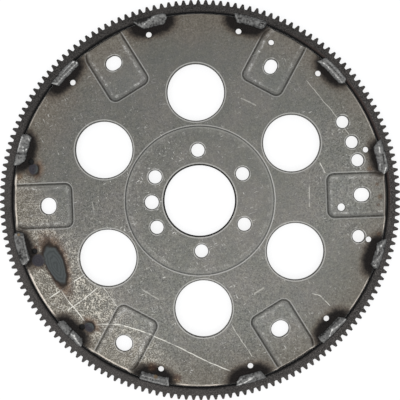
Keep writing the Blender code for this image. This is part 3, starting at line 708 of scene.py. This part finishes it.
def pad_distance(x, y, angle):
    """Signed distance to a pad's upper edge, negative inside it."""
    u, v = along_and_across(x, y, angle)
    v = np.where(v > 0, v + corner_bulge(u), v)
    across = np.abs(v) - PAD_HALF_WIDTH + PAD_CORNER_RADIUS
    inward = PAD_INNER_RADIUS - u + PAD_CORNER_RADIUS
    outside = np.hypot(np.maximum(across, 0.0), np.maximum(inward, 0.0))
    return outside + np.minimum(np.maximum(across, inward), 0.0) - PAD_CORNER_RADIUS


def press_distance(x, y):
    """Signed distance to the nearest pressing's upper edge."""
    nearest = hub_distance(x, y)
    for angle in PAD_ANGLES:
        nearest = np.minimum(nearest, pad_distance(x, y, angle))
    return nearest


def pressings(x, y, shift):
    """How far the hub and the pads lie below the plate's face, with their outlines shifted out."""
    inside = shift - hub_distance(x, y)
    drop = pressed_drop(inside, HUB_WALL_RUN, HUB_DEPTH, UPPER_BEND, HUB_LOWER_BEND)
    for angle in PAD_ANGLES:
        inside = shift - pad_distance(x, y, angle)
        drop = drop + pressed_drop(inside, PAD_WALL_RUN, PAD_DEPTH, UPPER_BEND, PAD_LOWER_BEND)
    return drop


def plate_holes():
    """Every hole as an obround, like CENTRE_BORE."""
    holes = [CENTRE_BORE]
    for degrees in range(30, 360, 60):
        for circle, radius, count in PAIRED_HOLES:
            holes.append((*polar(circle, degrees), radius, radius, 0.0, count))
    holes.append(DOWEL_HOLE)
    for degrees, circle, half_width, half_length, turn in SLOTS:
        direction = math.radians(degrees + turn)
        holes.append((*polar(circle, degrees), half_width, half_length, direction, 60))
    for angles, inset, radius, count in OUTER_HOLES:
        for degrees in angles:
            holes.append((*polar(RIM_RADIUS - inset, degrees), radius, radius, 0.0, count))
    return holes


def hole_distance(x, y, hole):
    """Signed distance to a hole's edge, negative inside it."""
    cx, cy, half_width, half_length, direction, count = hole
    along, across = along_and_across(x - cx, y - cy, direction)
    past = np.maximum(np.abs(along) - (half_length - half_width), 0.0)
    return np.hypot(past, across) - half_width


def hole_loop(hole, grow):
    """Points round a hole, at a distance outside its edge."""
    cx, cy, half_width, half_length, direction, count = hole
    half = count // 2
    points = []
    for end in (0, 1):
        for i in range(half):
            angle = math.pi * (end - 0.5 + (i + 0.5) / half)
            along = (half_length - half_width) * (1 - 2 * end) + (half_width + grow) * math.cos(angle)
            across = (half_width + grow) * math.sin(angle)
            x = cx + along * math.cos(direction) - across * math.sin(direction)
            y = cy + along * math.sin(direction) + across * math.cos(direction)
            points.append((x, y))
    return points


def circle_points(radius, count):
    return [polar(radius, 360.0 * i / count) for i in range(count)]


def pad_row(angle, grow):
    """Points along a pad's outline, grown or shrunk, from rim to rim."""
    half = PAD_HALF_WIDTH + grow
    inner = PAD_INNER_RADIUS - grow
    corner = max(PAD_CORNER_RADIUS + grow, 0.3)
    side = [(u, half) for u in np.arange(RIM_RADIUS + 2, inner + corner, -1.1)]
    bend = []
    steps = 9
    for i in range(steps + 1):
        turn = math.pi / 2 * i / steps
        bend.append((inner + corner - corner * math.sin(turn), half - corner + corner * math.cos(turn)))
    end = [(inner, v) for v in np.arange(half - corner, 0.0, -1.4)]
    upper = side + bend + end
    row = []
    for u, v in upper + [(u, -v) for u, v in upper]:
        v = v - float(corner_bulge(u)) if v > 0 else v
        x = u * math.cos(angle) - v * math.sin(angle)
        row.append((x, u * math.sin(angle) + v * math.cos(angle)))
    return row


def hex_grid(spacing, inner, outer):
    points = []
    rows = int(outer / (spacing * 0.866)) + 1
    for j in range(-rows, rows + 1):
        y = j * spacing * 0.866
        for i in range(-rows, rows + 1):
            x = (i + 0.5 * (j % 2)) * spacing
            if inner <= math.hypot(x, y) < outer:
                points.append((x, y))
    return points


def hole_edge_distance(x, y, holes):
    nearest = np.full_like(x, 60.0)
    for hole in holes:
        nearest = np.minimum(nearest, hole_distance(x, y, hole))
    return nearest


def edge_distance(x, y, holes):
    """Distance to the nearest edge, of the rim or of a hole."""
    return np.minimum(RIM_RADIUS - np.hypot(x, y), hole_edge_distance(x, y, holes))


def plate_outline_rows(holes):
    """The rim and the holes as closed loops, and the rows of points beside them."""
    loops = [circle_points(RIM_RADIUS, 2 * TOOTH_COUNT)] + [hole_loop(hole, 0.0) for hole in holes]
    beside = []
    for inset in EDGE_ROWS:
        beside += circle_points(RIM_RADIUS - inset, 2 * TOOTH_COUNT)
        for hole in holes:
            beside += hole_loop(hole, inset)
    return loops, beside


def plate_inner_points(holes):
    """Points of the pressings and of the flat metal, clear of every edge."""
    pressed = []
    for grow in HUB_ROWS:
        pressed += circle_points(HUB_RADIUS + grow, HUB_ROW_POINTS)
    for angle in PAD_ANGLES:
        for grow in PAD_ROWS:
            pressed += pad_row(angle, grow)
    pressed = np.array(pressed)
    keep = edge_distance(pressed[:, 0], pressed[:, 1], holes) > ROW_CLEARANCE
    pressed = pressed[keep]
    inner_grid = hex_grid(COARSE_GRID, 0.0, FINE_GRID_START)
    grid = np.array(inner_grid + hex_grid(FINE_GRID, FINE_GRID_START, RIM_RADIUS))
    x, y = grid[:, 0], grid[:, 1]
    keep = edge_distance(x, y, holes) > GRID_CLEARANCE
    gaps = [(hub_distance(x, y), HUB_GRID_GAP)]
    gaps += [(pad_distance(x, y, angle), PAD_GRID_GAP) for angle in PAD_ANGLES]
    for distance, (low, high) in gaps:
        keep &= (distance < low) | (distance > high)
    return np.vstack((pressed, grid[keep]))


def triangulate_plate(holes):
    """The plate seen from above: its points, and its triangles counterclockwise."""
    loops, beside = plate_outline_rows(holes)
    points = []
    edges = []
    for loop in loops:
        first = len(points)
        points += loop
        edges += [(first + i, first + (i + 1) % len(loop)) for i in range(len(loop))]
    points += beside
    points += [tuple(p) for p in plate_inner_points(holes)]
    made = delaunay_2d_cdt([Vector(p) for p in points], edges, [], 0, 1e-4)
    flat = np.array([tuple(v) for v in made[0]])
    faces = np.array([f for f in made[2] if len(f) == 3])
    middle = flat[faces].mean(axis=1)
    inside = edge_distance(middle[:, 0], middle[:, 1], holes) > -1e-3
    faces = faces[inside]
    corner = flat[faces]
    a = corner[:, 1] - corner[:, 0]
    b = corner[:, 2] - corner[:, 0]
    area = a[:, 0] * b[:, 1] - a[:, 1] * b[:, 0]
    faces = faces[np.abs(area) > 1e-5]
    area = area[np.abs(area) > 1e-5]
    faces[area < 0] = faces[area < 0][:, ::-1]
    return flat, faces


def border_edges(faces):
    """Directed edges used by only one face."""
    used = dict.fromkeys(e for a, b, c in faces for e in ((a, b), (b, c), (c, a)))
    return [edge for edge in used if edge[::-1] not in used]


def roll_over(edge, radius):
    """How far a surface drops beside a rounded edge."""
    share = np.clip(radius - edge, 0.0, radius)
    return radius - np.sqrt(radius ** 2 - share ** 2 + 1e-9)


def soot_depth(x, y):
    """How far a point lies inside the soot round a ring weld, as half an ellipse on the rim."""
    radius = np.hypot(x, y)
    angle = np.degrees(np.arctan2(y, x))
    deepest = np.full_like(radius, -12.0)
    for first, last, reach in SOOT:
        away = (angle - (first + last) / 2 + 180) % 360 - 180
        half_length = math.radians(last - first) / 2 * SOOT_RADIUS + 1.0
        half_depth = SOOT_OUTER_RADIUS - reach
        along = np.abs(np.radians(away)) * SOOT_RADIUS / half_length
        inward = np.maximum(SOOT_OUTER_RADIUS - radius, 0.0) / half_depth
        share = (along ** 2.6 + inward ** 2.2) ** (1 / 2.4)
        deepest = np.maximum(deepest, (1.0 - share) * half_depth)
    return deepest


def heat_reach(x, y):
    """Millimetres outside the nearest heat mark's border, negative inside it."""
    nearest = np.full_like(x, 30.0)
    for degrees, centre_radius, half_length, half_depth, tilt, taper in HEAT_MARKS:
        cx, cy = polar(centre_radius, degrees)
        angle = math.radians(degrees + tilt)
        depth, length = along_and_across(x - cx, y - cy, angle)
        narrow = 1.0 - taper * np.clip(length / half_length, -1.0, 1.2)
        share = np.hypot(length / half_length, depth / (half_depth * narrow))
        nearest = np.minimum(nearest, (share - 1.0) * half_depth)
    return nearest


def set_attribute(mesh, name, values):
    attribute = mesh.attributes.new(name, "FLOAT", "POINT")
    attribute.data.foreach_set("value", np.asarray(values, np.float32))


def add_piece(name, points, faces, materials, replaced, sharp):
    """A mesh piece from points in millimetres, in place of a CAD node."""
    mesh = bpy.data.meshes.new(name)
    mesh.from_pydata((np.asarray(points) * MM).tolist(), [], faces)
    mesh.update()
    mesh.shade_smooth()
    mesh.set_sharp_from_angle(angle=math.radians(sharp))
    for material in materials:
        mesh.materials.append(material)
    piece = bpy.data.objects.new(name, mesh)
    bpy.context.scene.collection.objects.link(piece)
    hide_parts(replaced)
    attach(piece, "root")
    return piece


def build_plate():
    holes = plate_holes()
    flat, faces = triangulate_plate(holes)
    x, y = flat[:, 0], flat[:, 1]
    edge = edge_distance(x, y, holes)
    top = PLATE_TOP - pressings(x, y, 0.0) - roll_over(edge, EDGE_ROUND) * EDGE_FLATTENING
    bottom = PLATE_BOTTOM - pressings(x, y, PRESSED_CORNER_SHIFT)
    bottom = bottom + roll_over(edge, UNDER_EDGE_ROUND)
    count = len(flat)
    points = np.vstack((np.column_stack((flat, top)), np.column_stack((flat, bottom))))
    walls = [(a + count, b + count, b, a) for a, b in border_edges(faces.tolist())]
    all_faces = faces.tolist() + (faces[:, ::-1] + count).tolist() + walls
    looks = (plate_material(), cut_edge_material())
    plate = add_piece("plate", points, all_faces, looks, "drive_plate", 50.0)
    for face in plate.data.polygons[-len(walls):]:
        face.material_index = 1
    large = [hole for hole in holes if hole[2] > 20.0]
    small = [hole for hole in holes if 5.0 < hole[2] < 20.0]
    attributes = {
        "edge": hole_edge_distance(x, y, large),
        "small_edge": hole_edge_distance(x, y, small),
        "soot": soot_depth(x, y),
        "heat_mark": heat_reach(x, y),
        "rim": RIM_RADIUS - np.hypot(x, y),
        "press": press_distance(x, y),
    }
    for name, values in attributes.items():
        set_attribute(plate.data, name, np.tile(values, 2))


def involute(angle):
    return math.tan(angle) - angle


def half_tooth(radius):
    thickness = math.pi * PITCH_RADIUS / TOOTH_COUNT - TOOTH_THINNING
    local = math.acos(PITCH_RADIUS * math.cos(PRESSURE_ANGLE) / radius)
    return thickness / 2 / PITCH_RADIUS + involute(PRESSURE_ANGLE) - involute(local)


def tooth_side():
    """Radius and angle from the middle of a tooth's tip to the middle of the gap."""
    tip = half_tooth(TIP_RADIUS)
    side = [(TIP_RADIUS, tip * 0.5), (TIP_RADIUS, tip - 0.20 / TIP_RADIUS)]
    side.append((TIP_RADIUS - 0.06, tip - 0.05 / TIP_RADIUS))
    flank_top = TIP_RADIUS - 0.24
    fillet_radius = ROOT_RADIUS + ROOT_FILLET
    for i in range(6):
        radius = flank_top - (flank_top - fillet_radius) * i / 5
        side.append((radius, half_tooth(radius)))
    foot = half_tooth(fillet_radius) + ROOT_FILLET / ROOT_RADIUS
    for i in range(1, 5):
        turn = math.pi / 2 * i / 4
        radius = fillet_radius - ROOT_FILLET * math.sin(turn)
        side.append((radius, foot - ROOT_FILLET / ROOT_RADIUS * math.cos(turn)))
    side.append((ROOT_RADIUS, math.pi / TOOTH_COUNT))
    return side


def tooth_points(inset):
    """One tooth's outline from gap to gap, set in by a chamfer, as radius and angle."""
    side = tooth_side()
    outline = [(r, -a) for r, a in side[:0:-1]] + [(side[0][0], -side[0][1])] + side
    flat = np.array([(r * math.sin(a), r * math.cos(a)) for r, a in outline])
    before = np.vstack((flat[:1] - (flat[1:2] - flat[:1]) * (1, -1), flat[:-1]))
    after = np.vstack((flat[1:], flat[-1:] + (flat[-1:] - flat[-2:-1]) * (1, -1)))
    run = after - before
    normal = np.column_stack((run[:, 1], -run[:, 0])) / np.linalg.norm(run, axis=1)[:, None]
    moved = flat + normal * inset
    return np.column_stack((np.hypot(moved[:, 0], moved[:, 1]), np.arctan2(moved[:, 0], moved[:, 1])))


def ring_circle(outline, level):
    """A tooth's outline, given as radius and angle, repeated round the ring at one height."""
    points = []
    for i in range(TOOTH_COUNT):
        centre = FIRST_TOOTH_ANGLE + 2 * math.pi * i / TOOTH_COUNT
        for radius, angle in outline:
            turned = centre + angle
            points.append((radius * math.cos(turned), radius * math.sin(turned), level))
    return points


def circle_strips(first, circles, count):
    """Faces between circles of points that follow one another."""
    faces = []
    for k in range(circles - 1):
        low, high = first + k * count, first + (k + 1) * count
        for i in range(count):
            j = (i + 1) % count
            faces.append((low + i, low + j, high + j, high + i))
    return faces


def build_ring():
    # The last point of a tooth is the next one's first
    per_tooth = len(tooth_points(0.0)) - 1
    total = per_tooth * TOOTH_COUNT
    levels = ((0.30, 0.0), (0.09, 0.09), (0.0, 0.32), (0.0, 10.12), (0.07, 10.32))
    levels += ((TOOTH_CHAMFER, RING_TOP),)
    points = []
    for inset, level in levels:
        points += ring_circle(tooth_points(inset)[:-1], level)
    faces = circle_strips(0, len(levels), total)

    # The inner circles have a point under each gap's middle and each tooth's two feet
    foot = 1
    angles = [tooth_points(TOOTH_CHAMFER)[k][1] for k in (0, foot, per_tooth - foot)]
    bore = RING_BORE_RADIUS
    profile = (
        (RING_FACE_RADIUS, RING_TOP),
        (bore + RING_BORE_CHAMFER + 0.35, RING_TOP),
        (bore + RING_BORE_CHAMFER + 0.1, RING_TOP - 0.07),
        (bore + RING_BORE_CHAMFER - 0.25, RING_TOP - 0.32),
        (bore, RING_TOP - RING_BORE_CHAMFER),
        (bore, 4.0),
        (bore, 0.5),
        (bore + 0.5, 0.0),
        (RING_FACE_RADIUS, 0.0),
    )
    inner = len(points)
    for radius, level in profile:
        points += ring_circle([(radius, angle) for angle in angles], level)
    around = 3 * TOOTH_COUNT
    faces += circle_strips(inner, len(profile), around)
    ends = (((len(levels) - 1) * total, inner, False), (0, inner + (len(profile) - 1) * around, True))
    for outer_start, inner_start, flip in ends:
        for i in range(TOOTH_COUNT):
            o = outer_start + i * per_tooth
            nxt = outer_start + (i + 1) % TOOTH_COUNT * per_tooth
            n = inner_start + 3 * i
            n_next = inner_start + 3 * ((i + 1) % TOOTH_COUNT)
            left, right = o + foot, o + per_tooth - foot
            new = [
                (o, left, n + 1, n),
                (left, right, n + 2, n + 1),
                (right, nxt, n_next, n + 2),
                tuple(range(left, right + 1)),
            ]
            faces += [f if flip else f[::-1] for f in new]
    add_piece("ring", points, faces, (ring_material(),), "ring_gear", 28.0)


def bed_height(radius):
    """The plate, the ring's chamfer and the ring's face under a bead."""
    ramp = np.clip(radius - RING_BORE_RADIUS, 0.0, RING_BORE_CHAMFER)
    height = RING_TOP - RING_BORE_CHAMFER + ramp
    return np.where(radius < RIM_RADIUS, PLATE_TOP, np.maximum(height, PLATE_TOP - 0.4))


def smooth_noise(points, size, seed):
    """Noise from -1 to 1 at each point."""
    return np.array([noise.noise(Vector((x / size, y / size, seed * 7.31))) for x, y in points])


def stroke_rise(strokes, x, radius):
    """The sum of a bead's strokes at each point."""
    total = np.zeros_like(x)
    for x0, r0, x1, r1, half_width, rise in strokes:
        run_x, run_r = x1 - x0, r1 - r0
        share = ((x - x0) * run_x + (radius - r0) * run_r) / (run_x ** 2 + run_r ** 2)
        share = np.clip(share, 0.0, 1.0)
        away = np.hypot(x - x0 - share * run_x, radius - r0 - share * run_r)
        total += rise * np.exp(-(away / half_width) ** 2)
    return total


def bead_end(end, across):
    """How far a bead reaches at one end, with its corners cut back."""
    reach, outer_cut, middle_cut, inner_cut = end
    return reach - np.interp(across, (-1.0, 0.0, 1.0), (inner_cut, middle_cut, outer_cut))


def build_ring_weld(number, weld, material):
    centre, inner, outer, crown, tone, high_end, low_end = weld
    middle = (inner + outer) / 2
    rows, columns = 33, 121
    even = np.linspace(-1, 1, columns)
    along = np.repeat(0.55 * even + 0.45 * np.sin(even * math.pi / 2), rows)
    across = np.tile(np.sin(np.linspace(-1, 1, rows) * math.pi / 2), columns)
    wave = np.array([noise.noise(Vector((a * 3.0, number * 3.7, 0.0))) for a in along])
    side_wave = np.array([noise.noise(Vector((a * 4.5, number * 3.7, 5.0))) for a in along])
    radius = middle + 0.35 * wave + across * (outer - inner) / 2 * (1 + 0.10 * side_wave)
    high = bead_end(high_end, across)
    low = -bead_end(low_end, across)
    stretch = low + (high - low) * (along + 1) / 2
    angle = math.radians(centre) + stretch / middle
    flat = np.column_stack((radius * np.cos(angle), radius * np.sin(angle)))
    slope = np.clip((radius - 162.0) / 8.5, 0.0, 1.0)
    base = PLATE_TOP + (RING_TOP - PLATE_TOP) * slope * slope * (3 - 2 * slope)
    body = (1 - np.abs(across) ** 3.0) ** 0.6 * (1 - np.abs(along) ** 14) ** 0.5
    strokes = stroke_rise(STROKES[number - 1], -stretch, radius)
    rough = 0.30 * smooth_noise(flat, 4.2, number) + 0.10 * smooth_noise(flat, 1.6, number + 20)
    bed = bed_height(radius)
    top = base + body * (crown - 0.35 + rough + 0.55 * strokes)
    top = np.maximum(top, bed + 0.03 * body) - 0.05 * (body < 0.02)
    top = np.minimum(top, BEAD_TOP_LIMIT)
    # Tone, with painted highlights on the ridges and painted shade towards the edges
    tone_light_and_shade = 0.52 + tone + 0.5 * rough + 0.30 * smooth_noise(flat, 1.4, number + 40) + strokes
    tone_light_and_shade = tone_light_and_shade * np.clip(body * 1.5, 0.0, 1.0)
    low = np.minimum(bed - 0.05, top - 0.02)
    points = np.vstack((np.column_stack((flat, top)), np.column_stack((flat, low))))
    count = rows * columns
    faces = []
    for i in range(columns - 1):
        for j in range(rows - 1):
            a = i * rows + j
            quad = (a, a + 1, a + rows + 1, a + rows)
            faces.append(quad[::-1])
            faces.append(tuple(v + count for v in quad))
    border = [i * rows for i in range(columns)]
    border += [(columns - 1) * rows + j for j in range(1, rows)]
    border += [i * rows + rows - 1 for i in range(columns - 2, -1, -1)]
    border += list(range(rows - 2, 0, -1))
    for a, b in zip(border, border[1:] + border[:1]):
        faces.append((a, b, b + count, a + count))
    name = f"ring_weld_{number:02d}"
    piece = add_piece(f"bead_{number:02d}", points, faces, (material,), name, 80.0)
    set_attribute(piece.data, "tone_light_and_shade", np.concatenate((tone_light_and_shade, tone_light_and_shade * 0.0)))


def dress_hidden_side(weld, weight):
    """The counterweight and its welds keep their CAD shape."""
    looks = {"counterweight": weight, "weight_edge_weld": weld}
    for number in (1, 2, 3):
        looks[f"weight_plug_weld_{number}"] = weld
    for name, material in looks.items():
        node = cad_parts[name]
        node.data.materials.clear()
        node.data.materials.append(material)


def build_floor():
    mesh = bpy.data.meshes.new("floor")
    side = FLOOR_HALF_SIDE
    corners = [(-side, -side, 0.0), (side, -side, 0.0), (side, side, 0.0), (-side, side, 0.0)]
    mesh.from_pydata(corners, [], [(0, 1, 2, 3)])
    g = Graph("floor_white")
    g.shader.inputs["Emission Color"].default_value = (1.0, 1.0, 1.0, 1.0)
    g.shader.inputs["Emission Strength"].default_value = 0.80
    g.colour = (0.25, 0.25, 0.25)
    mesh.materials.append(g.finish(0.9, None, 0.0))
    floor = bpy.data.objects.new("floor", mesh)
    floor.location.z = -FLOOR_DROP
    bpy.context.scene.collection.objects.link(floor)


def add_light(name, location, size, energy):
    data = bpy.data.lights.new(name, "AREA")
    data.shape = "DISK"
    data.size = size
    data.energy = energy
    light = bpy.data.objects.new(name, data)
    light.location = location
    light.rotation_euler = (-Vector(location)).to_track_quat("-Z", "Y").to_euler()
    bpy.context.scene.collection.objects.link(light)


def light_scene():
    world = bpy.data.worlds.new("studio")
    world.use_nodes = True
    back = world.node_tree.nodes["Background"]
    back.inputs["Color"].default_value = (0.93, 0.95, 1.0, 1.0)
    back.inputs["Strength"].default_value = 0.72
    bpy.context.scene.world = world
    add_light("soft_key", (-0.12, -0.35, 1.7), 2.2, 12.0)
    bpy.context.scene.view_settings.view_transform = "Standard"


set_up_camera()
build_plate()
build_ring()
weld_look = weld_material()
for weld_number, weld_shape in enumerate(RING_WELDS, start=1):
    build_ring_weld(weld_number, weld_shape, weld_look)
dress_hidden_side(weld_look, weight_material())
build_floor()
light_scene()
